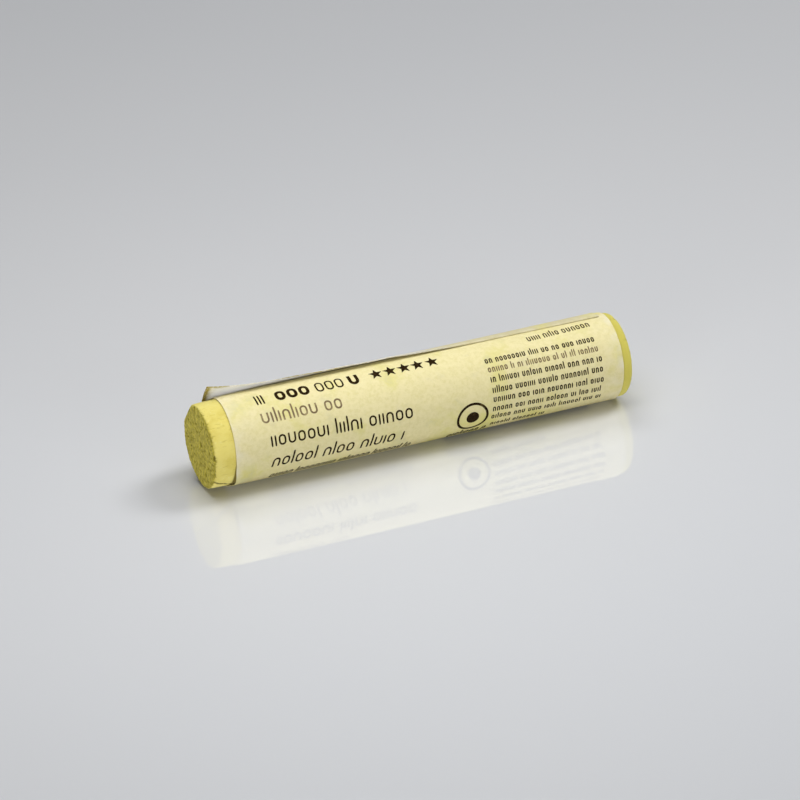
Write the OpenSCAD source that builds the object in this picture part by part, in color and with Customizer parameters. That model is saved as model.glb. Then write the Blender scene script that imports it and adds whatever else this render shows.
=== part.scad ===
// Round soft pastel stick, part used, in a thin paper label.
// It lies along X with its worn end at the low X side and rests on the small flat
// that it dried on. The origin is the middle of that flat, under the label.

/* [Stick] */
// Diameter of the stick
stick_d = 12; // [9:0.1:16]
// Length of the stick, worn end included
stick_l = 63; // [50:0.1:90]
// Width of the flat that the stick dried on
flat_w = 2.4; // [1.4:0.1:3.6]
// Radius of the edge at the unused end
end_edge_r = 0.7; // [0.3:0.1:2]

/* [Worn end] */
// Radius that the worn face has lost
wear = 0.15; // [0.05:0.05:0.8]
// Length of the taper down to the worn face
wear_l = 4.5; // [2:0.1:8]
// Radius of the worn rim
worn_edge_r = 0.35; // [0.2:0.05:1]
// How far the broken-off chip reaches in from the worn rim
chip_depth = 0.7; // [0.2:0.05:1.4]
// Place of the chip round the rim, in degrees up from the back
chip_angle = 40; // [15:1:75]
// Slope of the chip against the length of the stick
chip_slope = 38; // [25:1:60]
// How far the rubbed facet reaches in from the worn rim
facet_depth = 0.45; // [0.2:0.05:1]
// Place of the rubbed facet round the rim, in degrees down from the back
facet_angle = 70; // [40:1:110]
// Slope of the rubbed facet against the length of the stick
facet_slope = 22; // [15:1:60]
// Number of crumbs missing from the worn rim
crumb_count = 11; // [5:1:16]
// Width of the largest missing crumb
crumb_d = 0.7; // [0.3:0.05:1.4]
// Number of small pores in the worn face
pore_count = 13; // [4:1:18]
// Width of the largest pore
pore_d = 0.6; // [0.3:0.05:1.1]

/* [Label] */
// Bare length of stick at the worn end
bare_worn_l = 3.1; // [1:0.1:6]
// Bare length of stick at the unused end
bare_end_l = 1.7; // [0.5:0.1:5]
// Thickness of the paper
paper_t = 0.1; // [0.08:0.01:0.25]
// Clearance between the paper and the stick
wrap_gap = 0.15; // [0.03:0.01:0.2]
// Clearance between the two layers where the label laps itself
lap_gap = 0.04; // [0.03:0.01:0.2]
// Place of the label's free edge, in degrees over from the back
edge_angle = 90; // [70:1:110]
// Slant of the wrap, in degrees
skew = 1.4; // [0.2:0.1:2.5]
// Shortest length of the lap that stays glued down
glue_l = 3; // [1.5:0.1:4]

/* [Free edge of the label] */
// Loose length of the lap, next to the worn end
loose_near_l = 3.4; // [2:0.1:4.5]
// Loose length of the lap, next to the unused end
loose_far_l = 1.9; // [0.5:0.1:3.5]
// Further loose length at the corner that stands up
corner_l = 1.6; // [0.2:0.1:2.5]
// Length along the stick over which the corner's lift dies away
corner_fade_l = 4.5; // [3:0.5:9]

/* [Hidden] */
$fn = 96;

PIGMENT = [0.87, 0.82, 0.42];
PAPER = [0.93, 0.90, 0.74];

// Directions round the stick: 0 is the back (+Y), 90 the top and 270 the flat
TURN = 360;
DOWN = 270;
RAD = 180 / PI;

stick_r = stick_d / 2;
flat_h = sqrt(stick_r * stick_r - flat_w * flat_w / 4);
flat_half = acos(flat_h / stick_r);
axis_z = flat_h + wrap_gap + paper_t;
worn_x = -stick_l / 2;

label_x = worn_x + bare_worn_l;
label_w = stick_l - bare_worn_l - bare_end_l;
wrap_r = stick_r + wrap_gap + paper_t / 2;
lap_l = glue_l + loose_near_l + corner_l;
// Rise of the second layer over the first, and the arc in which it climbs
lap_rise = paper_t + lap_gap;
climb_arc = 14;
climb_end_arc = 3;
// Direction at which the label's edges have their nominal place
front_angle = 190;

// Steps of the label's mesh: round to the flat, across it, round to the free edge, along X
round_steps = 40;
flat_steps = 1;
lap_steps = 36;
long_steps = 20;
// Above 1, the steps along X are closer near the standing corner
long_bias = 1.5;
wrap_steps = round_steps + flat_steps + lap_steps;

// Arc steps of a rounded edge, and how far a cutter reaches past what it cuts
edge_steps = 8;
past = 5;
// Crumbs and pores: smallest against the largest, stray from an even spacing, facets
least_size = 0.4;
stray = 0.5;
ball_fn = 32;
golden_angle = 137.5;
// Arc each side of the chip that has no crumbs
chip_clear_arc = 50;

// ---- Worn stick ----

function arc_points(centre, r, from, to) =
    [for (i = [0 : edge_steps])
        let (a = from + (to - from) * i / edge_steps)
        centre + r * [cos(a), sin(a)]];

// Half section of the stick: radius, then distance from the worn face
function stick_profile() =
    let (face_r = stick_r - wear)
    concat(
        [[0, 0]],
        arc_points([face_r - worn_edge_r, worn_edge_r], worn_edge_r, -90, 0),
        [[stick_r, wear_l]],
        arc_points([stick_r - end_edge_r, stick_l - end_edge_r], end_edge_r, 0, 90),
        [[0, stick_l]]);

// Repeatable scatter between 0 and 1
function scatter(n) =
    let (s = sin(n * 78.233 + 37.7) * 437.585)
    s - floor(s);

module on_axis()
    translate([worn_x, 0, axis_z])
        children();

// Turns what lies along +Y of the face to a direction round the stick
module at_angle(a)
    rotate([a, 0, 0])
        children();

module drying_flat_cut()
    translate([worn_x - past, -stick_r, axis_z - flat_h - past])
        cube([stick_l + 2 * past, stick_d, past]);

// Slanting cut that takes off a piece of the worn rim
module rim_cut(angle, depth, slope)
    on_axis()
        at_angle(angle)
            translate([0, stick_r - wear - depth, 0])
                rotate([0, 0, slope])
                    translate([-stick_d, 0, -stick_d])
                        cube(2 * stick_d);

module rim_crumb_cuts()
    on_axis()
        for (i = [0 : crumb_count - 1])
            let (
                d = crumb_d * (least_size + (1 - least_size) * scatter(i + 1)),
                step = (TURN - 2 * chip_clear_arc) / crumb_count,
                a = chip_angle + chip_clear_arc + step * (i + stray * scatter(i + 31)))
            at_angle(a)
                translate([0, stick_r - wear, 0])
                    sphere(d = d, $fn = ball_fn);

module pore_cuts()
    on_axis()
        for (i = [0 : pore_count - 1])
            let (
                d = pore_d * (least_size + (1 - least_size) * scatter(i + 61)),
                r = (stick_r - wear - pore_d - crumb_d) * sqrt((i + stray) / pore_count))
            at_angle(i * golden_angle)
                translate([0, r, 0])
                    sphere(d = d, $fn = ball_fn);

module pastel_stick()
    color(PIGMENT)
        difference() {
            on_axis()
                rotate([0, 90, 0])
                    rotate_extrude()
                        polygon(stick_profile());
            drying_flat_cut();
            rim_cut(chip_angle, chip_depth, chip_slope);
            rim_cut(-facet_angle, facet_depth, facet_slope);
            rim_crumb_cuts();
            pore_cuts();
        }

// ---- Label: one sheet, wrapped a turn and a bit, with its free edge loose ----

function smooth(t) =
    let (u = min(1, max(0, t)))
    u * u * (3 - 2 * u);

function arc_of(length) = length / wrap_r * RAD;

// The sheet's straight edges run at the skew, so their place turns along X
function edge_turn(x) = arc_of(tan(skew) * (x - label_x - label_w / 2));
function free_edge(x) = TURN + edge_angle + edge_turn(x);
function start_edge(x) = free_edge(x) - TURN - arc_of(lap_l);

// Loose length of the sheet's end at a place along the stick
function loose_l(x) =
    let (d = x - label_x)
    loose_near_l + (loose_far_l - loose_near_l) * d / label_w + corner_l * exp(-d / corner_fade_l);

// Direction of the sheet at one of its steps: a column never straddles the flat's edges
function wrap_angle(i, x) =
    i <= round_steps
        ? let (s = start_edge(x))
            s + (DOWN - flat_half - s) * i / round_steps
        : i <= round_steps + flat_steps
            ? DOWN - flat_half + 2 * flat_half * (i - round_steps) / flat_steps
            : let (s = DOWN + flat_half)
                s + (free_edge(x) - s) * (i - round_steps - flat_steps) / lap_steps;

function on_flat(a) = abs(a - DOWN) <= flat_half + 0.001;

// Distance of a layer from the stick's skin, which steps up where the sheet laps itself
function layer_off(a, x) =
    let (climb_end = start_edge(x) + TURN - climb_end_arc)
    wrap_gap + lap_rise * smooth((a - climb_end + climb_arc) / climb_arc);

function wrap_radius(a, off) =
    on_flat(a) ? (flat_h + off) / cos(a - DOWN) : stick_r + off;

// Point of the sheet: held parts follow the stick, the loose end leaves it along its tangent
function sheet_point(a, x, lift) =
    let (
        let_go = free_edge(x) - arc_of(loose_l(x)),
        held = min(a, let_go),
        r = wrap_radius(held, layer_off(held, x) + lift),
        free = max(0, a - let_go) / RAD * wrap_r)
    [x - tan(skew) * wrap_r * (a - front_angle) / RAD,
        r * cos(held) - free * sin(held),
        axis_z + r * sin(held) + free * cos(held)];

function long_x(j) = label_x + label_w * pow(j / long_steps, long_bias);

function sheet_points() =
    [for (lift = [0, paper_t])
        for (i = [0 : wrap_steps])
            for (j = [0 : long_steps])
                let (x = long_x(j))
                sheet_point(wrap_angle(i, x), x, lift)];

row = long_steps + 1;
layer = (wrap_steps + 1) * row;
function inner(i, j) = i * row + j;
function outer(i, j) = layer + i * row + j;
function quad(a, b, c, d) = [[a, c, b], [a, d, c]];

function sheet_faces() =
    [for (i = [0 : wrap_steps - 1])
        for (j = [0 : long_steps - 1])
            each concat(
                quad(outer(i, j), outer(i + 1, j), outer(i + 1, j + 1), outer(i, j + 1)),
                quad(inner(i, j), inner(i, j + 1), inner(i + 1, j + 1), inner(i + 1, j)))];

function side_faces() =
    [for (i = [0 : wrap_steps - 1])
        each concat(
            quad(inner(i, 0), inner(i + 1, 0), outer(i + 1, 0), outer(i, 0)),
            quad(inner(i + 1, long_steps), inner(i, long_steps),
                outer(i, long_steps), outer(i + 1, long_steps)))];

function end_faces() =
    [for (j = [0 : long_steps - 1])
        each concat(
            quad(inner(0, j + 1), inner(0, j), outer(0, j), outer(0, j + 1)),
            quad(inner(wrap_steps, j), inner(wrap_steps, j + 1),
                outer(wrap_steps, j + 1), outer(wrap_steps, j)))];

module paper_label()
    color(PAPER)
        polyhedron(sheet_points(), concat(sheet_faces(), side_faces(), end_faces()));

pastel_stick();
paper_label();
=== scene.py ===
import math
import random

import bmesh
import bpy
from mathutils import Matrix, Vector, noise


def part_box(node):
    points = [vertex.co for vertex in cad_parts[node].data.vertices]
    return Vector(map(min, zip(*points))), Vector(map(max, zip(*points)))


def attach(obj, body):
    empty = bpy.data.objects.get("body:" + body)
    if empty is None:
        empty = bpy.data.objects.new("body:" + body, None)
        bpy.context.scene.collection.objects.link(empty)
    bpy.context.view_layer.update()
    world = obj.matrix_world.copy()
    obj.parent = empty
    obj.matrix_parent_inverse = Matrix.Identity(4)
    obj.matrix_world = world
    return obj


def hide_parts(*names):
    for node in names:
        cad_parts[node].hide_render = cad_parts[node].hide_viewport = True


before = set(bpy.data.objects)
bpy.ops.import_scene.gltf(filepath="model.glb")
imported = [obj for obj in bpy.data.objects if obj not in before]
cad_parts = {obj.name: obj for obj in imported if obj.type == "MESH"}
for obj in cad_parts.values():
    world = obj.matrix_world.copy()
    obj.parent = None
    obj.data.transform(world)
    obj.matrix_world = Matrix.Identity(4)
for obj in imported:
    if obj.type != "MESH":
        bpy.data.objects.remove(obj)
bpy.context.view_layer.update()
print("frame loaded:", sorted(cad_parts))

# Everything is modelled in millimetres and scaled to metres when it is finished
mm = 0.001
stickLow, stickHigh = (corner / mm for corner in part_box("pastel_stick"))
stickRadius = (stickHigh.y - stickLow.y) / 2
axisZ = stickHigh.z - stickRadius
flatHeight = axisZ - stickLow.z
axisPoint = Vector((0, 0, axisZ))
# Directions round the stick are in degrees over from the back
frontAngle = 190              # where the label's slanting edges have their nominal place
downAngle = 270


def smoothStep(t):
    t = min(1.0, max(0.0, t))
    return t * t * (3 - 2 * t)


def mix(a, b, t):
    return a + (b - a) * t


def hump(value, low, high, soft):
    # 1 between low and high, easing to 0 over soft on both sides
    return smoothStep((value - low) / soft + 1) * smoothStep((high - value) / soft + 1)


def ripple(x, y, z, seed=0.0):
    # smooth seeded noise, about -1 to 1
    return noise.noise(Vector((x + seed, y - seed, z + 2 * seed)))


def swell(x, y, z, seed):
    # the same, about 0 to 1
    return 0.5 + 0.5 * ripple(x, y, z, seed)


def asPiece(name, mesh, sharpAngle):
    # turns a finished bmesh into an object that rides with the part
    bmesh.ops.scale(mesh, vec=(mm, mm, mm), verts=mesh.verts)
    data = bpy.data.meshes.new(name)
    mesh.to_mesh(data)
    mesh.free()
    data.shade_smooth()
    data.set_sharp_from_angle(angle=math.radians(sharpAngle))
    piece = bpy.data.objects.new(name, data)
    bpy.context.scene.collection.objects.link(piece)
    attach(piece, "root")
    return piece


# Helpers for the materials

def colour(red, green, blue):
    # screen colour, 0 to 255, as Blender's linear colour
    def linear(value):
        value /= 255
        return value / 12.92 if value <= 0.04045 else ((value + 0.055) / 1.055) ** 2.4
    return (linear(red), linear(green), linear(blue), 1.0)


def addNode(tree, kind, inputs=None, **settings):
    made = tree.nodes.new(kind)
    for key, value in settings.items():
        setattr(made, key, value)
    for socket, value in (inputs or {}).items():
        if isinstance(value, bpy.types.NodeSocket):
            tree.links.new(value, made.inputs[socket])
        else:
            made.inputs[socket].default_value = value
    return made


def newMaterial(name, inputs):
    material = bpy.data.materials.new(name)
    material.use_nodes = True
    tree = material.node_tree
    shader = tree.nodes["Principled BSDF"]
    for socket, value in inputs.items():
        shader.inputs[socket].default_value = value
    return material, tree, shader


def noiseField(tree, scale, detail=3.0, roughness=0.5, stretch=None):
    # scale is in features to the millimetre, stretch squeezes it along an axis
    vector = addNode(tree, "ShaderNodeTexCoord").outputs["Object"]
    if stretch:
        vector = addNode(tree, "ShaderNodeMapping", {"Vector": vector, "Scale": stretch}).outputs["Vector"]
    return addNode(tree, "ShaderNodeTexNoise", {
        "Vector": vector, "Scale": scale / mm, "Detail": detail, "Roughness": roughness,
    }).outputs["Fac"]


def spread(tree, value, low, high):
    # stretches a value from low..high to 0..1
    return addNode(tree, "ShaderNodeMapRange", {
        "Value": value, "From Min": low, "From Max": high}, interpolation_type="SMOOTHSTEP").outputs["Result"]


def times(tree, a, b):
    return addNode(tree, "ShaderNodeMath", {0: a, 1: b}, operation="MULTIPLY").outputs[0]


def plus(tree, a, b):
    return addNode(tree, "ShaderNodeMath", {0: a, 1: b}, operation="ADD", use_clamp=True).outputs[0]


def blendColours(tree, factor, first, second):
    made = addNode(tree, "ShaderNodeMix", {"Factor": factor}, data_type="RGBA")
    for socket, value in ((made.inputs[6], first), (made.inputs[7], second)):
        if isinstance(value, bpy.types.NodeSocket):
            tree.links.new(value, socket)
        else:
            socket.default_value = value
    return made.outputs[2]


def attribute(tree, name):
    return addNode(tree, "ShaderNodeAttribute", attribute_name=name).outputs["Fac"]


def bumpFrom(tree, height, distance, strength=1.0):
    return addNode(tree, "ShaderNodeBump", {
        "Height": height, "Distance": distance * mm, "Strength": strength}).outputs["Normal"]


# Camera, lights and table

view = {
    "place": (-0.20820, -0.49126, 0.26335),
    "heading": 22.81,     # degrees from +Y towards +X
    "down": 25.74,
    "roll": -2.31,
    "lens": 192.86,
    "sensor": 36,
    "nearest": 0.01,
}

camera = bpy.data.objects.new("camera", bpy.data.cameras.new("camera"))
camera.data.lens = view["lens"]
camera.data.sensor_width = view["sensor"]
camera.data.clip_start = view["nearest"]
camera.matrix_world = (
    Matrix.Translation(view["place"])
    @ Matrix.Rotation(math.radians(-view["heading"]), 4, "Z")
    @ Matrix.Rotation(math.radians(90 - view["down"]), 4, "X")
    @ Matrix.Rotation(math.radians(view["roll"]), 4, "Z"))
bpy.context.scene.collection.objects.link(camera)
bpy.context.scene.camera = camera

softBoxes = {
    "nearBox": {"place": (-0.020, -0.026, 0.15), "size": (0.12, 0.10), "watts": 0.102},
    "backBox": {"place": (0.0, 0.318, 0.509), "size": (0.25, 0.25), "watts": 1.0},
    "rightBox": {"place": (0.36, 0.0, 0.48), "size": (0.22, 0.22), "watts": 1.5},
    "frontBox": {"place": (0.12, -0.58, 0.12), "size": (0.28, 0.16), "watts": 0.70},
    "leftBox": {"place": (-0.42, -0.42, 0.12), "size": (0.28, 0.16), "watts": 0.80},
}

for name, box in softBoxes.items():
    lamp = bpy.data.lights.new(name, "AREA")
    lamp.shape = "RECTANGLE"
    lamp.size, lamp.size_y = box["size"]
    lamp.energy = box["watts"]
    holder = bpy.data.objects.new(name, lamp)
    holder.location = box["place"]
    holder.rotation_euler = (-Vector(box["place"])).to_track_quat("-Z", "Y").to_euler()
    holder.visible_camera = holder.visible_glossy = False
    bpy.context.scene.collection.objects.link(holder)

room = {
    "fill": colour(222, 225, 230), "fillStrength": 0.075,
    "backdrop": colour(206, 207, 209),
    "mirrored": colour(66, 66, 69),     # what the gloss of the table mirrors
}

world = bpy.data.worlds.new("room")
bpy.context.scene.world = world
world.use_nodes = True
roomTree = world.node_tree
fillLight = roomTree.nodes["Background"]
fillLight.inputs["Color"].default_value = room["fill"]
fillLight.inputs["Strength"].default_value = room["fillStrength"]
mirrored = addNode(roomTree, "ShaderNodeBackground", {"Color": room["mirrored"]})
backdrop = addNode(roomTree, "ShaderNodeBackground", {"Color": room["backdrop"]})
rays = addNode(roomTree, "ShaderNodeLightPath")
unseen = addNode(roomTree, "ShaderNodeMixShader", {
    0: rays.outputs["Is Glossy Ray"], 1: fillLight.outputs[0], 2: mirrored.outputs[0]})
roomMix = addNode(roomTree, "ShaderNodeMixShader", {
    0: rays.outputs["Is Camera Ray"], 1: unseen.outputs[0], 2: backdrop.outputs[0]})
roomTree.links.new(roomMix.outputs[0], roomTree.nodes["World Output"].inputs["Surface"])

tableTop = {
    "halfSize": 2.5, "cells": 8,
    "colour": colour(236, 237, 239), "cloud": colour(232, 234, 237), "cloudScale": 0.004,
}

tableMesh = bmesh.new()
bmesh.ops.create_grid(tableMesh, x_segments=tableTop["cells"], y_segments=tableTop["cells"],
                      size=tableTop["halfSize"])
tableData = bpy.data.meshes.new("tableTop")
tableMesh.to_mesh(tableData)
tableMesh.free()
table = bpy.data.objects.new("tableTop", tableData)
bpy.context.scene.collection.objects.link(table)

tableGloss, tableTree, tableShader = newMaterial("glossyWhiteTable", {
    "Roughness": 0.5, "Specular IOR Level": 0.3, "Coat Weight": 1.0, "Coat Roughness": 0.02, "Coat IOR": 2.1})
tableClouds = spread(tableTree, noiseField(tableTree, tableTop["cloudScale"]), 0.3, 0.7)
tableShade = blendColours(tableTree, tableClouds, tableTop["colour"], tableTop["cloud"])
tableTree.links.new(tableShade, tableShader.inputs["Base Color"])
table.data.materials.append(tableGloss)
print("camera, lights and table ready")


# The stick

stickLook = {
    "turns": 384,             # facets round the stick
    "fineStep": 0.11,
    "coarseStep": 4.0,
    "coarseSpan": (-26.4, 27.2),   # under the label, where nothing shows
    "wear": 0.15,
    "taper": 4.5,
    "wornRim": 0.35,
    "endRim": 0.7,
    "chip": {"angle": 40, "depth": 0.7, "slope": 38},
    "facet": {"angle": -70, "depth": 0.45, "slope": 22},
    # sizes, seeds and depths of the broad dents, the crumbs and the grain
    "grainSizes": (2.6, 0.62, 0.27),
    "grainSeeds": (3, 11, 23),
    "sideDepths": (0.022, 0.006, 0.012),
    "faceDepths": (0.07, 0.07, 0.05),
    "smallPits": {"size": 0.42, "depth": 0.16, "endShare": 0.3},
    "dragMarks": {"fine": 0.012, "deep": 0.09, "span": (80, 140), "soft": 14},
    "rimReach": 1.2,          # how far from a rim crumbs are looked for
    "wornCrumbs": 0.15,
    "endCrumbs": 0.12,
    "cutReach": 3,            # how far from the worn end the chip and the facet can reach
    "cutRoughness": 0.09,
    "cutEdge": (0.25, 0.1),   # how far before and past the cut its edge is rounded
    "darkPit": 0.18,          # the depths at which the painted shade in a pit and in the crack is darkest
    "darkCrack": 0.08,
    "farEnd": (20, 8),          # from where, and over what length, the skin is painted darker towards the unused end
    # painted shadow: the skin is painted darker where the label's edge covers and shades it; the edge slants,
    # and gapes low at the front
    "shade": {"from": -28.36, "over": 0.2, "slant": 0.15, "gape": 0.2, "span": (198, 236), "soft": 16,
              "to": 26, "fade": 3},
    # place on the worn face (y, z from its middle), width and depth of the larger pits
    "pits": [
        (-0.7, 0.6, 0.75, 0.36), (-3.5, 2.6, 0.46, 0.24), (-2.1, 0.2, 0.4, 0.22), (-4.0, 0.7, 0.44, 0.26),
        (-5.5, 0.6, 0.8, 0.4), (1.1, 5.4, 0.6, 0.34), (3.2, 4.2, 0.56, 0.3), (0.6, 2.1, 0.34, 0.2),
        (3.3, -1.2, 0.4, 0.2), (-1.9, -3.4, 0.5, 0.26), (-4.8, -1.4, 0.44, 0.26), (2.0, -3.1, 0.36, 0.2),
        (-1.5, 4.0, 0.36, 0.2), (1.9, 0.4, 0.3, 0.18), (-3.2, -1.9, 0.42, 0.24), (-0.4, -1.6, 0.34, 0.2),
    ],
    "crack": {"angles": (214, 238), "width": 0.26, "depth": 0.36, "wander": 1.8, "until": -27.6},
}


def roughSkin(x, y, z, depths):
    # depth lost by the skin
    look = stickLook
    return sum(depth * swell(x / size, y / size, z / size, seed)
               for size, seed, depth in zip(look["grainSizes"], look["grainSeeds"], depths))


def smallPits(x, y, z):
    pits = stickLook["smallPits"]
    field = ripple(x / pits["size"], y / pits["size"], z / pits["size"], 41)
    return pits["depth"] * smoothStep((field - 0.30) / 0.25)


def namedPits(y, z):
    lost = 0.0
    for pitY, pitZ, width, depth in stickLook["pits"]:
        away = math.hypot((y - pitY) * 1.25, z - pitZ)
        if away < width:
            away += 0.12 * ripple(y / 0.2, z / 0.2, pitY)
            lost = max(lost, depth * smoothStep(1.25 - away / (0.55 * width)))
    return lost


def dragMarks(x, angle):
    # fine lines along the stick, left by the wrapping and by fingers
    marks = stickLook["dragMarks"]
    around = math.radians(angle) * stickRadius
    cuts = ripple(x / 0.9, around / 0.22, 4, 71)
    deep = marks["deep"] * smoothStep((cuts - 0.36) / 0.2) * hump(angle, *marks["span"], marks["soft"])
    return marks["fine"] * swell(x / 2.4, around / 0.3, 0, 57) + deep


def crackDepth(x, angle):
    crack = stickLook["crack"]
    if x > crack["until"]:
        return 0.0
    along = (x - stickLow.x) / (crack["until"] - stickLow.x)
    wander = ripple(x / 0.7, 5, 0, 5) + 0.6 * ripple(x / 0.25, 8, 0, 6)
    middle = mix(*crack["angles"], along) + crack["wander"] * wander
    away = abs(angle - middle) * math.radians(stickRadius)
    width = crack["width"] * (1 + 0.8 * ripple(x / 0.4, 1, 0, 9))
    return crack["depth"] * smoothStep(1 - away / max(0.06, width)) * smoothStep((x - stickLow.x) / 0.3)


def labelShade(x, angle):
    # painted shadow of the label's edge: 1 where it darkens the skin
    shade = stickLook["shade"]
    shadowed = x - shade["from"] + math.radians(angle - frontAngle) * shade["slant"]
    shadowed += shade["gape"] * hump(angle, *shade["span"], shade["soft"])
    return smoothStep(shadowed / shade["over"]) * (1 - smoothStep((x - shade["to"]) / shade["fade"]))


def planeCut(place, cut, rough):
    # pulls what lies past a slanting plane at the worn rim back onto that plane
    direction = Vector((0, math.cos(math.radians(cut["angle"])), math.sin(math.radians(cut["angle"]))))
    limit = (stickRadius - stickLook["wear"] - cut["depth"]
             + (place.x - stickLow.x) * math.tan(math.radians(cut["slope"])))
    past = place.dot(direction) - limit
    before, after = stickLook["cutEdge"]
    if past > -before:
        rounded = past if past > after else after * smoothStep((past + before) / (before + after)) * 0.6
        place -= direction * (rounded + (rough if past > 0 else 0))
    return past


def looksOut(facing):
    # 1 on an end face, 0 on the side
    return smoothStep(facing * 1.4 - 0.2)


def makeStick():
    look = stickLook
    mesh = bmesh.new()
    wornX, endX = stickLow.x, stickHigh.x
    coarseFrom, coarseTo = look["coarseSpan"]
    profile = [
        (wornX, stickRadius - look["wear"]), (wornX + look["taper"], stickRadius),
        (coarseFrom, stickRadius), (coarseTo, stickRadius), (endX, stickRadius)]
    chain = [mesh.verts.new((x, 0, axisZ + radius)) for x, radius in profile]
    chain = [mesh.verts.new((wornX, 0, axisZ))] + chain + [mesh.verts.new((endX, 0, axisZ))]
    for first, second in zip(chain, chain[1:]):
        mesh.edges.new((first, second))
    for rim, size in ((chain[1], look["wornRim"]), (chain[-2], look["endRim"])):
        bmesh.ops.bevel(mesh, geom=[rim], offset=size, offset_type="OFFSET", affect="VERTICES",
                        segments=6, profile=0.5, material=-1)
    for edge in list(mesh.edges):
        middle = (edge.verts[0].co.x + edge.verts[1].co.x) / 2
        hidden = coarseFrom < middle < coarseTo
        step = look["coarseStep"] if hidden else look["fineStep"]
        cuts = round(edge.calc_length() / step) - 1
        if cuts > 0:
            bmesh.ops.subdivide_edges(mesh, edges=[edge], cuts=cuts)
    bmesh.ops.spin(mesh, geom=mesh.verts[:] + mesh.edges[:], cent=axisPoint, axis=(1, 0, 0),
                   angle=math.tau, steps=look["turns"], use_merge=True)
    bmesh.ops.remove_doubles(mesh, verts=mesh.verts, dist=0.002)
    bmesh.ops.recalc_face_normals(mesh, faces=mesh.faces)
    mesh.normal_update()

    wornLayer = mesh.verts.layers.float.new("worn")
    hollowShadeLayer = mesh.verts.layers.float.new("hollowShade")
    farEndLayer = mesh.verts.layers.float.new("farEnd")
    shadeLayer = mesh.verts.layers.float.new("shade")
    farEndFrom, farEndOver = look["farEnd"]
    for vert in mesh.verts:
        place = vert.co - axisPoint
        x, y, z = place
        radius = math.hypot(y, z)
        angle = math.degrees(math.atan2(z, y)) % 360
        fromWorn, fromEnd = x - wornX, endX - x
        onWornFace = looksOut(-vert.normal.x)
        onEndFace = looksOut(vert.normal.x)
        lost = 0.0
        if not coarseFrom < x < coarseTo:
            side = roughSkin(x, y, z, look["sideDepths"]) + dragMarks(x, angle)
            face = roughSkin(x, y, z, look["faceDepths"])
            lost = mix(mix(side, face, onWornFace), 0.5 * face, onEndFace)
        small = smallPits(x, y, z)
        pits = (small + namedPits(y, z)) * onWornFace + look["smallPits"]["endShare"] * small * onEndFace
        rimClose = math.hypot(fromWorn, max(0.0, stickRadius - radius))
        crumbs = 0.0
        if rimClose < look["rimReach"]:
            field = 0.7 * ripple(y / 1.1, z / 1.1, 0, 83) + 0.9 * ripple(y / 0.24, z / 0.24, x / 0.7, 87)
            crumbs = look["wornCrumbs"] * smoothStep((field + 0.1) / 0.9) * smoothStep(1.2 - rimClose / 0.55)
        endClose = math.hypot(fromEnd, max(0.0, stickRadius - radius))
        if endClose < look["rimReach"]:
            field = ripple(y / 0.9, z / 0.9, 0, 91)
            crumbs += look["endCrumbs"] * smoothStep((field - 0.25) / 0.4) * smoothStep(1.2 - endClose / 0.9)
        gash = crackDepth(x, angle)
        place -= vert.normal * (lost + pits + crumbs + gash)
        broken = 0.0
        if fromWorn < look["cutReach"]:
            rough = look["cutRoughness"] * swell(x / 0.35, y / 0.35, z / 0.35, 97)
            for cut in (look["chip"], look["facet"]):
                broken = max(broken, smoothStep(planeCut(place, cut, rough) / 0.1 + 1))
        place.z = max(place.z, -flatHeight)
        vert[wornLayer] = max(onWornFace, 0.6 * broken, smoothStep(crumbs / 0.1))
        # painted shade in the pits, the crumbs and the crack, deeper is darker
        vert[hollowShadeLayer] = min(1.0, (pits + 0.5 * crumbs) / look["darkPit"] + gash / look["darkCrack"])
        vert[farEndLayer] = smoothStep((x - farEndFrom) / farEndOver)
        vert[shadeLayer] = labelShade(x, angle)
        vert.co = place + axisPoint
    return asPiece("pastelStick", mesh, 75)


pigmentLook = {
    "skin": colour(246, 234, 139),
    "paleDust": colour(248, 239, 160),
    "deepTint": colour(238, 224, 120),
    "wornTint": colour(236, 222, 88),
    "hollowShadeTint": colour(106, 92, 24),
    "wornShade": colour(184, 169, 56),
    "farEndTint": colour(224, 214, 106),
    "hairline": colour(214, 199, 96),
    "labelShadowTint": colour(142, 122, 40),
    # how strongly each is laid over the rest
    "streaks": 0.35, "hairs": 0.5, "hollowShades": 0.75, "shade": 0.9, "specks": 0.42,
    "grainDepth": 0.05,
}


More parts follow.
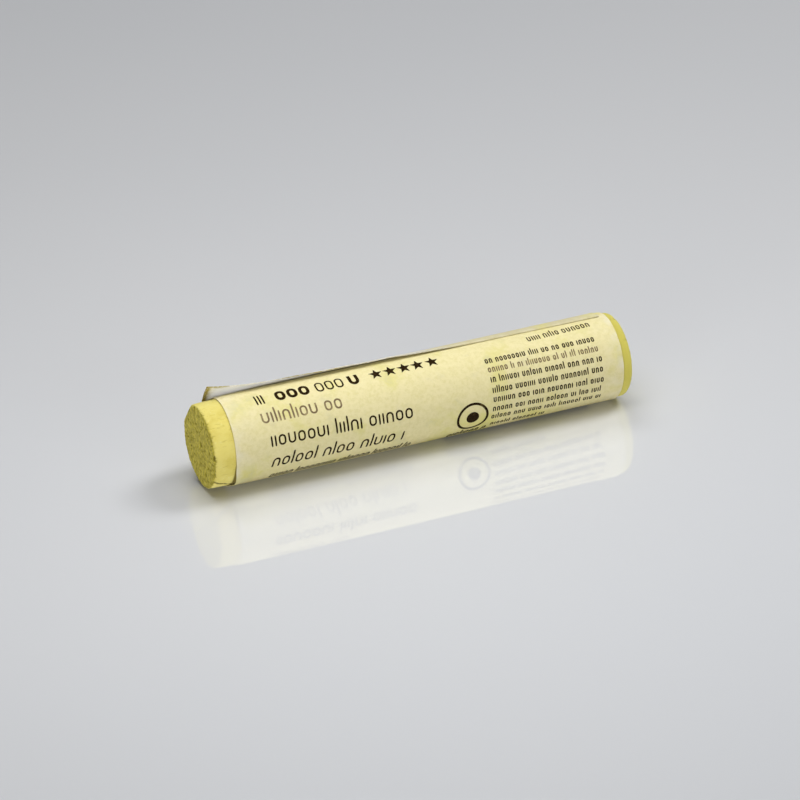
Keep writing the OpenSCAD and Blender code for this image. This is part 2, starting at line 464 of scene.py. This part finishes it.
def pigmentMaterial():
    material, tree, shader = newMaterial("powderyPigment", {
        "Roughness": 0.95, "Diffuse Roughness": 1.0, "Specular IOR Level": 0.15,
        "Sheen Weight": 0.12, "Sheen Roughness": 0.6})
    look = pigmentLook
    skin = blendColours(tree, spread(tree, noiseField(tree, 0.45), 0.42, 0.7), look["skin"], look["deepTint"])
    skin = blendColours(tree, spread(tree, noiseField(tree, 2.6, 4), 0.55, 0.85), skin, look["paleDust"])
    streaks = spread(tree, noiseField(tree, 3.2, 3, 0.6, (0.12, 1, 1)), 0.6, 0.8)
    skin = blendColours(tree, times(tree, streaks, look["streaks"]), skin, look["deepTint"])
    hairs = spread(tree, noiseField(tree, 4.5, 2, 0.5, (0.16, 1, 1)), 0.62, 0.72)
    skin = blendColours(tree, times(tree, hairs, look["hairs"]), skin, look["hairline"])
    # the skin painted darker towards the unused end
    skin = blendColours(tree, attribute(tree, "farEnd"), skin, look["farEndTint"])
    # the worn face is painted darker and more olive than the side: partly its own rubbed colour, partly painted
    # shade with yellow bounce light
    wornMix = spread(tree, noiseField(tree, 2.4, 5, 0.7, (1, 1, 0.7)), 0.34, 0.68)
    worn = blendColours(tree, wornMix, look["wornShade"], look["wornTint"])
    tone = blendColours(tree, attribute(tree, "worn"), skin, worn)
    # painted shade in the pits and the crack
    hollowShade = times(tree, attribute(tree, "hollowShade"), look["hollowShades"])
    tone = blendColours(tree, hollowShade, tone, look["hollowShadeTint"])
    # painted shadow where the label's edge shades the skin
    shade = times(tree, attribute(tree, "shade"), look["shade"])
    tone = blendColours(tree, shade, tone, look["labelShadowTint"])
    # dark specks on the worn face, painted in the colour of the shade in its pits
    specks = times(tree, spread(tree, noiseField(tree, 5.0, 2), 0.62, 0.72), attribute(tree, "worn"))
    tone = blendColours(tree, times(tree, specks, look["specks"]), tone, look["hollowShadeTint"])
    tree.links.new(tone, shader.inputs["Base Color"])
    coarse = times(tree, noiseField(tree, 9, 3, 0.6), 0.6)
    grain = plus(tree, coarse, times(tree, noiseField(tree, 22, 2), 0.4))
    tree.links.new(bumpFrom(tree, grain, look["grainDepth"], 0.8), shader.inputs["Normal"])
    return material


stick = makeStick()
stick.data.materials.append(pigmentMaterial())
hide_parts("pastel_stick")
print("stick shaped:", len(stick.data.polygons), "faces")


# The label is a sheet cut flat, given its thickness and rolled on

labelLook = {
    "left": -28.4,
    "width": 58.2,
    "thickness": 0.1,
    "cells": (176, 142),      # along the stick, round it
    "rollRadius": 6.2,
    "slant": 1.4,
    "edgeAngle": 90,          # the free edge, in degrees over from the back
    "lap": 8.0,
    "looseNear": 3.4,
    "looseFar": 1.9,
    "corner": 1.6,
    "cornerFade": 4.5,
    "climb": (17, 3),         # degrees before the first edge in which the second layer climbs
    "gap": 0.045,
    "waves": 0.045,
    "creases": 0.02,
    "snug": {"share": 0.75, "reach": 1.2},        # drawn closer at the worn end
    "crinkle": {"height": 0.03, "reach": 2.2},    # at the other end
    "flatGap": 0.13,
    "flatSpan": (262, 278),
    "flatSoft": 8,
    "layerGap": 0.03,
    "bow": 0.16,              # how far the loose end bows out, and how far it wavers
    "waver": 0.12,
    "pressedGap": 0.03,
    "doubledFrom": 357,       # degrees round from the first edge
    "ragged": 0.8,            # size of the dust's uneven outline
    "sideDust": 1.8,
    "edgeDust": {"strength": 1.5, "reach": 0.4, "spans": ((0, 1.5, 2), (13, 32, 4)), "least": 0.35},
    "edgeReach": 1.3,         # how far in from its border the sheet is paler
    "mouth": {"open": 0.55, "reach": 1.5, "span": (202, 214), "soft": 24},
    "trim": 0.7,              # how much shorter the sheet is cut towards the unused end
    "pressed": (-4, 14),      # where along the stick the loose edge comes to lie flat
}
flatHalf = math.degrees(math.acos(flatHeight / stickRadius))
rollArc = math.degrees(1) / labelLook["rollRadius"]     # degrees to the millimetre of sheet
slantTan = math.tan(math.radians(labelLook["slant"]))
sheetLength = math.tau * labelLook["rollRadius"] + labelLook["lap"]
labelMiddle = labelLook["left"] + labelLook["width"] / 2


def freeEdge(x):
    return 360 + labelLook["edgeAngle"] + rollArc * slantTan * (x - labelMiddle)


def firstEdge(x):
    return freeEdge(x) - 360 - rollArc * labelLook["lap"]


def looseLength(x):
    along = x - labelLook["left"]
    return (mix(labelLook["looseNear"], labelLook["looseFar"], along / labelLook["width"])
            + labelLook["corner"] * math.exp(-along / labelLook["cornerFade"]))


def paperGap(x, angle):
    # how far the first layer stands off the pigment
    left = x - labelLook["left"]
    right = labelLook["left"] + labelLook["width"] - x
    turn = math.radians(angle)
    waves = swell(x / 9, turn * 1.7, 0, 13)
    creases = swell(x / 2.2, turn * 4.2, 0, 29)
    gap = labelLook["gap"] + labelLook["waves"] * waves * waves + labelLook["creases"] * creases
    snug, crinkle = labelLook["snug"], labelLook["crinkle"]
    gap *= 1 - snug["share"] * math.exp(-left / snug["reach"])
    crinkled = 1 + ripple(0, turn * 1.5, 0, 33) + ripple(x / 1.1, turn * 7, 0, 35)
    gap += crinkle["height"] * math.exp(-right / crinkle["reach"]) * crinkled
    mouth = labelLook["mouth"]
    opened = mouth["open"] * math.exp(-left / mouth["reach"]) * hump(angle, *mouth["span"], mouth["soft"])
    # at the front and the back there is no more room than on the flat
    roomy = smoothStep(abs(math.sin(turn)) * 1.35 - 0.2) * smoothStep((1 - abs(math.cos(turn))) / 0.1)
    return min(gap + opened, mix(labelLook["flatGap"], 1, roomy))


def skinGap(x, angle):
    onFlat = hump(angle, *labelLook["flatSpan"], labelLook["flatSoft"])
    return mix(paperGap(x, angle), labelLook["flatGap"], onFlat)


def layerGap(x, angle):
    # the second layer climbs over the first one's edge
    climbStart, climbEnd = labelLook["climb"]
    climb = smoothStep((angle - firstEdge(x) - 360 + climbStart) / (climbStart - climbEnd))
    if climb == 0:
        return skinGap(x, angle)
    over = skinGap(x, angle - 360) + labelLook["thickness"] + labelLook["layerGap"]
    return mix(skinGap(x, angle), over, climb)


def wrapPlace(x, angle, lift):
    # place of a point of the sheet where it lies on the stick
    distance = layerGap(x, angle) + lift
    turned = math.radians(angle)
    if abs(angle - downAngle) < flatHalf:
        radius = (flatHeight + distance) / math.cos(turned - math.radians(downAngle))
    else:
        radius = stickRadius + distance
    return Vector((0, radius * math.cos(turned), radius * math.sin(turned)))


def standsFree(x):
    # 1 where the sheet's end stands free, 0 where it lies flat
    pressedFrom, pressedTo = labelLook["pressed"]
    return 1 - smoothStep((x - pressedFrom) / (pressedTo - pressedFrom))


def rollOn(x, angle, lift):
    # place of a point of the sheet: x along it, angle round the stick, lift above its inner face
    letGo = freeEdge(x) - rollArc * looseLength(x)
    place = wrapPlace(x, min(angle, letGo), lift)
    free = max(0.0, angle - letGo) / rollArc
    if free > 0:
        turned = math.radians(letGo)
        share = free / looseLength(x)
        bow = labelLook["bow"] * math.sin(math.pi * min(1.0, share)) * (1 + 0.8 * ripple(x / 7, 0, 0, 43))
        bow += labelLook["waver"] * share * ripple(x / 4.5, 3, 0, 47) * smoothStep(free)
        place += Vector((0, math.cos(turned), math.sin(turned))) * bow
        place += Vector((0, -math.sin(turned), math.cos(turned))) * free
        pressed = wrapPlace(x, angle, lift + labelLook["pressedGap"] * share)
        place = place.lerp(pressed, 1 - standsFree(x))
    place += Vector((x - slantTan * labelLook["rollRadius"] * math.radians(angle - frontAngle), 0, axisZ))
    return place


def makeLabel():
    look = labelLook
    edgeDust = look["edgeDust"]
    mesh = bmesh.new()
    cellsX, cellsY = look["cells"]
    bmesh.ops.create_grid(mesh, x_segments=cellsX, y_segments=cellsY, size=0.5)
    bmesh.ops.scale(mesh, vec=(look["width"], sheetLength, 1), verts=mesh.verts)
    bmesh.ops.translate(mesh, vec=(labelMiddle, sheetLength / 2, 0), verts=mesh.verts)
    thick = bmesh.ops.extrude_face_region(mesh, geom=mesh.faces[:])
    lifted = [item for item in thick["geom"] if isinstance(item, bmesh.types.BMVert)]
    bmesh.ops.translate(mesh, vec=(0, 0, look["thickness"]), verts=lifted)

    touchLayer = mesh.verts.layers.float.new("touch")
    dustLayer = mesh.verts.layers.float.new("dust")
    edgeLayer = mesh.verts.layers.float.new("edge")
    doubleLayer = mesh.verts.layers.float.new("double")
    for vert in mesh.verts:
        x, along, lift = vert.co
        along *= 1 - look["trim"] / sheetLength * smoothStep((x - look["left"]) / look["width"])
        angle = firstEdge(x) + rollArc * along
        toEnd = sheetLength - along
        left = x - look["left"]
        letGo = freeEdge(x) - rollArc * looseLength(x)
        free = max(0.0, angle - letGo) / rollArc
        standing = 0.35 * free * standsFree(x) + 0.25 * layerGap(x, min(angle, letGo))
        vert[touchLayer] = 1 - smoothStep((standing - 0.06) / 0.5)
        overlap = smoothStep((angle - firstEdge(x) - look["doubledFrom"]) / 3)
        vert[doubleLayer] = overlap * (1 - smoothStep(free / 1.6) * standsFree(x))
        ragged = swell(x / look["ragged"], along / look["ragged"], 0, 53)
        onSide = look["sideDust"] * smoothStep(free / 0.6) * math.exp(-left / (0.3 + 0.5 * ragged))
        lined = min(1.0, sum(hump(left, *span) for span in edgeDust["spans"]) + edgeDust["least"])
        onEnd = edgeDust["strength"] * math.exp(-toEnd / edgeDust["reach"]) * lined * (0.4 + 0.8 * ragged)
        vert[dustLayer] = min(1.0, max(onSide, onEnd))
        border = min(left, look["left"] + look["width"] - x, along, toEnd)
        vert[edgeLayer] = math.exp(-border / look["edgeReach"])
        vert.co = rollOn(x, angle, lift)
    bmesh.ops.recalc_face_normals(mesh, faces=mesh.faces)
    return asPiece("labelPaper", mesh, 50)


paperLook = {
    "offStick": colour(250, 249, 245),
    "doubled": colour(211, 202, 163),
    "mottled": colour(226, 215, 150),
    "onStick": colour(240, 229, 177),
    "closeContact": colour(227, 219, 132),
    "paleEdge": colour(241, 234, 210),
    "greyed": colour(218, 210, 180),
    "dust": colour(166, 152, 76),
    "mottles": 0.6, "doubledShare": 0.8, "greys": 0.6, "pale": 0.75, "fibres": 0.25,
    "fibreDepth": 0.07,
}


def paperMaterial():
    material, tree, shader = newMaterial("thinLabelPaper", {
        "Roughness": 0.62, "Specular IOR Level": 0.3,
        "Subsurface Radius": (1.0, 1.0, 1.0), "Subsurface Scale": 0.9 * mm})
    look = paperLook
    touch = attribute(tree, "touch")
    dust = attribute(tree, "dust")
    # light comes through only where the paper stands free and is clean
    solid = addNode(tree, "ShaderNodeMath", {0: touch, 1: dust}, operation="MAXIMUM").outputs[0]
    away = addNode(tree, "ShaderNodeMath", {0: 1.0, 1: solid}, operation="SUBTRACT").outputs[0]
    tree.links.new(away, shader.inputs["Subsurface Weight"])
    paper = blendColours(tree, touch, look["offStick"], look["onStick"])
    mottle = spread(tree, noiseField(tree, 1.6, 6, 0.75), 0.40, 0.64)
    paper = blendColours(tree, times(tree, mottle, times(tree, touch, look["mottles"])), paper, look["mottled"])
    double = times(tree, attribute(tree, "double"), look["doubledShare"])
    paper = blendColours(tree, double, paper, look["doubled"])
    clouds = spread(tree, noiseField(tree, 0.16, 4, 0.55), 0.5, 0.72)
    paper = blendColours(tree, times(tree, clouds, touch), paper, look["closeContact"])
    grey = spread(tree, noiseField(tree, 0.32, 5, 0.6), 0.55, 0.8)
    paper = blendColours(tree, times(tree, grey, look["greys"]), paper, look["greyed"])
    pale = times(tree, attribute(tree, "edge"), spread(tree, noiseField(tree, 0.5, 3), 0.35, 0.65))
    pale = times(tree, times(tree, pale, touch), look["pale"])
    paper = blendColours(tree, pale, paper, look["paleEdge"])
    smudge = spread(tree, noiseField(tree, 1.9, 5, 0.7), 0.4, 0.6)
    paper = blendColours(tree, times(tree, dust, plus(tree, smudge, 0.55)), paper, look["dust"])
    fibre = noiseField(tree, 3.5, 4, 0.6, (0.5, 1, 1))
    fibres = times(tree, spread(tree, fibre, 0.55, 0.85), look["fibres"])
    paper = blendColours(tree, fibres, paper, look["greyed"])
    tree.links.new(paper, shader.inputs["Base Color"])
    height = plus(tree, times(tree, fibre, 0.5), times(tree, noiseField(tree, 0.9, 3), 0.5))
    tree.links.new(bumpFrom(tree, height, look["fibreDepth"], 0.9), shader.inputs["Normal"])
    return material


label = makeLabel()
label.data.materials.append(paperMaterial())
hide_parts("paper_label")
print("label rolled on:", len(label.data.polygons), "faces")


# The print is plain marks drawn flat, then rolled on over the paper

inkHeight = 0.014             # above the paper
inkDepth = 0.02               # sunk into it
rowHeight = 0.3               # a mark is cut into rows, so that it bends round the stick
onLine = 0.001                # nearer than this to a mark's middle line counts as on it


def lineLength(start, end):
    return math.hypot(end[0] - start[0], (end[1] - start[1]) / rollArc)


def markPlace(start, end, along):
    # a place on a line of print, as distance along the stick and angle
    share = along / lineLength(start, end)
    return mix(start[0], end[0], share), mix(start[1], end[1], share)


def setDown(mesh, mark, place):
    # adds a mark, drawn round the origin, to the flat print at its place
    for vert in mark.verts:
        vert.co = Vector((place[0] + vert.co.x, place[1] - vert.co.y * rollArc, 0))
    data = bpy.data.meshes.new("mark")
    mark.to_mesh(data)
    mark.free()
    mesh.from_mesh(data)
    bpy.data.meshes.remove(data)


def addStroke(mesh, place, width, high, lean=0.0):
    # an upright mark with eased ends; place is (x, angle) on the line it stands on
    rows = max(3, math.ceil(high / rowHeight))
    made = bmesh.ops.create_grid(mesh, x_segments=1, y_segments=rows, size=0.5)
    for vert in made["verts"]:
        up = (vert.co.y + 0.5) * high
        squeeze = 0.7 if abs(vert.co.y) > 0.49 else 1.0
        across = vert.co.x * width * squeeze + lean * up
        vert.co = Vector((place[0] + across, place[1] - up * rollArc, 0))


def addBend(mesh, place, size, high, stroke, kind, lean=0.0):
    # a loop, or an arch or a cup that is open at its foot or at its head
    mark = bmesh.new()
    steps = 16 if size > 0.7 else 10
    for radius in (size / 2 - stroke, size / 2):
        bmesh.ops.create_circle(mark, segments=steps, radius=radius)
    bmesh.ops.bridge_loops(mark, edges=mark.edges[:])
    straight = high - size
    if kind == "loop":
        for vert in mark.verts:
            if abs(vert.co.y) > onLine:
                vert.co.y += math.copysign(straight / 2, vert.co.y)
        bmesh.ops.translate(mark, vec=(0, high / 2, 0), verts=mark.verts)
    else:
        bmesh.ops.bisect_plane(mark, geom=mark.verts[:] + mark.edges[:] + mark.faces[:], plane_co=(0, 0, 0),
                               plane_no=(0, 1, 0), clear_inner=True, dist=0.0001)
        feet = [edge for edge in mark.edges if all(abs(vert.co.y) < onLine for vert in edge.verts)]
        legs = 3
        for _ in range(legs):
            grown = bmesh.ops.extrude_edge_only(mark, edges=feet)["geom"]
            bmesh.ops.translate(mark, vec=(0, -(high - size / 2) / legs, 0),
                                verts=[item for item in grown if isinstance(item, bmesh.types.BMVert)])
            feet = [item for item in grown if isinstance(item, bmesh.types.BMEdge)
                    and abs(item.verts[0].co.y - item.verts[1].co.y) < 0.0001]
        bmesh.ops.translate(mark, vec=(0, high - size / 2, 0), verts=mark.verts)
        if kind == "cup":
            for vert in mark.verts:
                vert.co.y = high - vert.co.y
            bmesh.ops.reverse_faces(mark, faces=mark.faces)
    for vert in mark.verts:
        vert.co.x += size / 2 + lean * vert.co.y
    setDown(mesh, mark, place)


def addStar(mesh, place, size):
    # every second corner of a ten-sided disc is pulled in
    mark = bmesh.new()
    corners = 10
    bmesh.ops.create_circle(mark, cap_ends=True, cap_tris=True, segments=corners, radius=size / 2)
    for vert in mark.verts:
        turn = math.atan2(vert.co.y, vert.co.x) - math.pi / 2
        if round(turn / (math.tau / corners)) % 2:
            vert.co *= stars["waist"]
    bmesh.ops.subdivide_edges(mark, edges=mark.edges[:], cuts=2, use_grid_fill=True)
    setDown(mesh, mark, place)


def addRing(mesh, place, radius, width):
    mark = bmesh.new()
    for size in (radius - width, radius - width / 2, radius):
        bmesh.ops.create_circle(mark, segments=56, radius=size)
    bmesh.ops.bridge_loops(mark, edges=mark.edges[:])
    setDown(mesh, mark, place)


def addDisc(mesh, place, radius):
    mark = bmesh.new()
    bmesh.ops.create_circle(mark, cap_ends=True, cap_tris=True, segments=28, radius=radius)
    bmesh.ops.subdivide_edges(mark, edges=mark.edges[:], cuts=3, use_grid_fill=True)
    setDown(mesh, mark, place)


def addWords(mesh, line, dice):
    # a run of plain bars, loops, arches and cups in word lengths
    start, end = line["start"], line["end"]
    total = lineLength(start, end)
    lean, stroke, high = line.get("lean", 0.0), line["stroke"], line["height"]
    along = 0.0
    while along < total - line["size"]:
        count = dice.randint(*line["marks"])
        for _ in range(count):
            if along > total - line["size"]:
                break
            kind = dice.choices(line["kinds"], line.get("shares"))[0]
            place = markPlace(start, end, along)
            if kind in ("bar", "tall"):
                reach = high * (line["tall"] if kind == "tall" else 1.0)
                addStroke(mesh, (place[0] + stroke / 2, place[1]), stroke, reach, lean)
                along += stroke + line["between"]
            else:
                addBend(mesh, place, line["size"], high, stroke, kind, lean)
                along += line["size"] + line["between"]
        along += line["space"]


def rollPrint(name, mesh, ink):
    # gives the flat marks their thickness and rolls them on
    thick = bmesh.ops.extrude_face_region(mesh, geom=mesh.faces[:])
    raised = {item for item in thick["geom"] if isinstance(item, bmesh.types.BMVert)}
    for vert in mesh.verts:
        x, angle = vert.co.x, vert.co.y
        sheetX = x + slantTan * labelLook["rollRadius"] * math.radians(angle - frontAngle)
        lift = labelLook["thickness"] + (inkHeight if vert in raised else -inkDepth)
        vert.co = rollOn(sheetX, angle, lift)
    bmesh.ops.recalc_face_normals(mesh, faces=mesh.faces)
    piece = asPiece(name, mesh, 50)
    piece.data.materials.append(ink)
    return piece


def inkMaterial(name, dark, worn, wornShare):
    material, tree, shader = newMaterial(name, {"Roughness": 0.85, "Specular IOR Level": 0.1})
    patches = spread(tree, noiseField(tree, 0.9, 4, 0.6), 0.62 - 0.3 * wornShare, 0.85 - 0.2 * wornShare)
    tone = blendColours(tree, patches, dark, worn)
    tone = blendColours(tree, times(tree, spread(tree, noiseField(tree, 6, 3), 0.5, 0.7), 0.3), tone, worn)
    tree.links.new(tone, shader.inputs["Base Color"])
    return material


darkInk = inkMaterial("darkInk", colour(40, 27, 12), colour(104, 88, 48), 0.2)
fadedInk = inkMaterial("fadedInk", colour(122, 104, 78), colour(168, 152, 112), 0.6)

mixed = {"kinds": ("bar", "tall", "loop", "arch", "cup"), "shares": (4, 2, 5, 4, 2)}
large = {**mixed, "height": 1.5, "tall": 1.45, "size": 1.12, "stroke": 0.25, "between": 0.3, "space": 0.75,
         "marks": (3, 8)}
small = {**mixed, "height": 0.74, "tall": 1.4, "size": 0.48, "stroke": 0.175, "between": 0.14, "space": 0.36,
         "marks": (2, 8)}
sloping = {**small, "lean": 0.2}
figures = {"height": 1.85, "tall": 1.0, "size": 1.2, "stroke": 0.24, "between": 0.24, "space": 0.8}
heavy = {**figures, "size": 1.5, "stroke": 0.46}
printLines = {
    "darkPrint": [
        {**figures, "start": (-23.6, 114.6), "end": (-21.2, 114.8), "kinds": ("bar", "tall"),
         "marks": (3, 3)},
        {**heavy, "start": (-20.7, 114.9), "end": (-15.0, 115.3), "kinds": ("loop",), "marks": (3, 3)},
        {**figures, "start": (-14.8, 115.4), "end": (-10.4, 115.8), "kinds": ("loop",), "marks": (3, 3)},
        {**heavy, "start": (-9.9, 115.9), "end": (-7.9, 116.0), "kinds": ("cup",), "marks": (1, 1)},
        {**large, "start": (-23.2, 173.0), "end": (-2.0, 176.5), "marks": (6, 8)},
        {**large, "start": (-23.3, 203.5), "end": (-2.6, 207.5), "lean": 0.22},
        {**sloping, "start": (-23.2, 231.6), "end": (-1.6, 232.6), "height": 1.2, "stroke": 0.215,
         "size": 0.66},
        {**sloping, "start": (3.4, 234.5), "end": (9.8, 231.0), "height": 1.1, "stroke": 0.22, "size": 0.6},
        {**small, "start": (17.2, 109.0), "end": (27.2, 106.0), "height": 0.95, "size": 0.56,
         "between": 0.18},
        {**small, "start": (9.8, 128.5), "end": (26.9, 131.0)},
        {**small, "start": (9.8, 154.0), "end": (26.9, 158.5)},
        {**small, "start": (9.8, 168.0), "end": (26.9, 172.0)},
        {**small, "start": (9.8, 180.5), "end": (26.8, 186.5)},
        {**small, "start": (9.7, 194.0), "end": (26.9, 201.0)},
        {**small, "start": (9.6, 207.0), "end": (26.9, 215.0)},
        {**small, "start": (9.8, 223.0), "end": (18.3, 227.0)},
    ],
    "fadedPrint": [
        {**large, "start": (-23.8, 142.0), "end": (-11.0, 144.2), "marks": (9, 9)},
        {**small, "start": (9.8, 141.0), "end": (26.9, 145.0)},
    ],
}
stars = {"places": (-5.8, -3.7, -1.6, 0.4, 2.6), "angle": 106.4, "size": 2.05, "waist": 0.42}
ring = {"place": (6.7, 197.0), "radius": 2.4, "width": 0.36, "disc": 0.95}
stripes = {"from": 4.2, "to": 27.0, "pitch": 0.62, "width": 0.3, "top": 243.6, "tall": 4.0}

dice = random.Random(7)
for name, lines in printLines.items():
    printMesh = bmesh.new()
    for line in lines:
        addWords(printMesh, line, dice)
    rollPrint(name, printMesh, fadedInk if name == "fadedPrint" else darkInk)

markMesh = bmesh.new()
for x in stars["places"]:
    addStar(markMesh, (x, stars["angle"]), stars["size"])
addRing(markMesh, ring["place"], ring["radius"], ring["width"])
addDisc(markMesh, ring["place"], ring["disc"])
rollPrint("printMarks", markMesh, darkInk)

stripeMesh = bmesh.new()
stripeCount = int((stripes["to"] - stripes["from"]) / stripes["pitch"])
for index in range(stripeCount):
    place = (stripes["from"] + index * stripes["pitch"], stripes["top"] + stripes["tall"] * rollArc)
    addStroke(stripeMesh, place, stripes["width"], stripes["tall"])
rollPrint("printStripes", stripeMesh, darkInk)
print("print rolled on")

bpy.context.scene.view_settings.view_transform = "Standard"
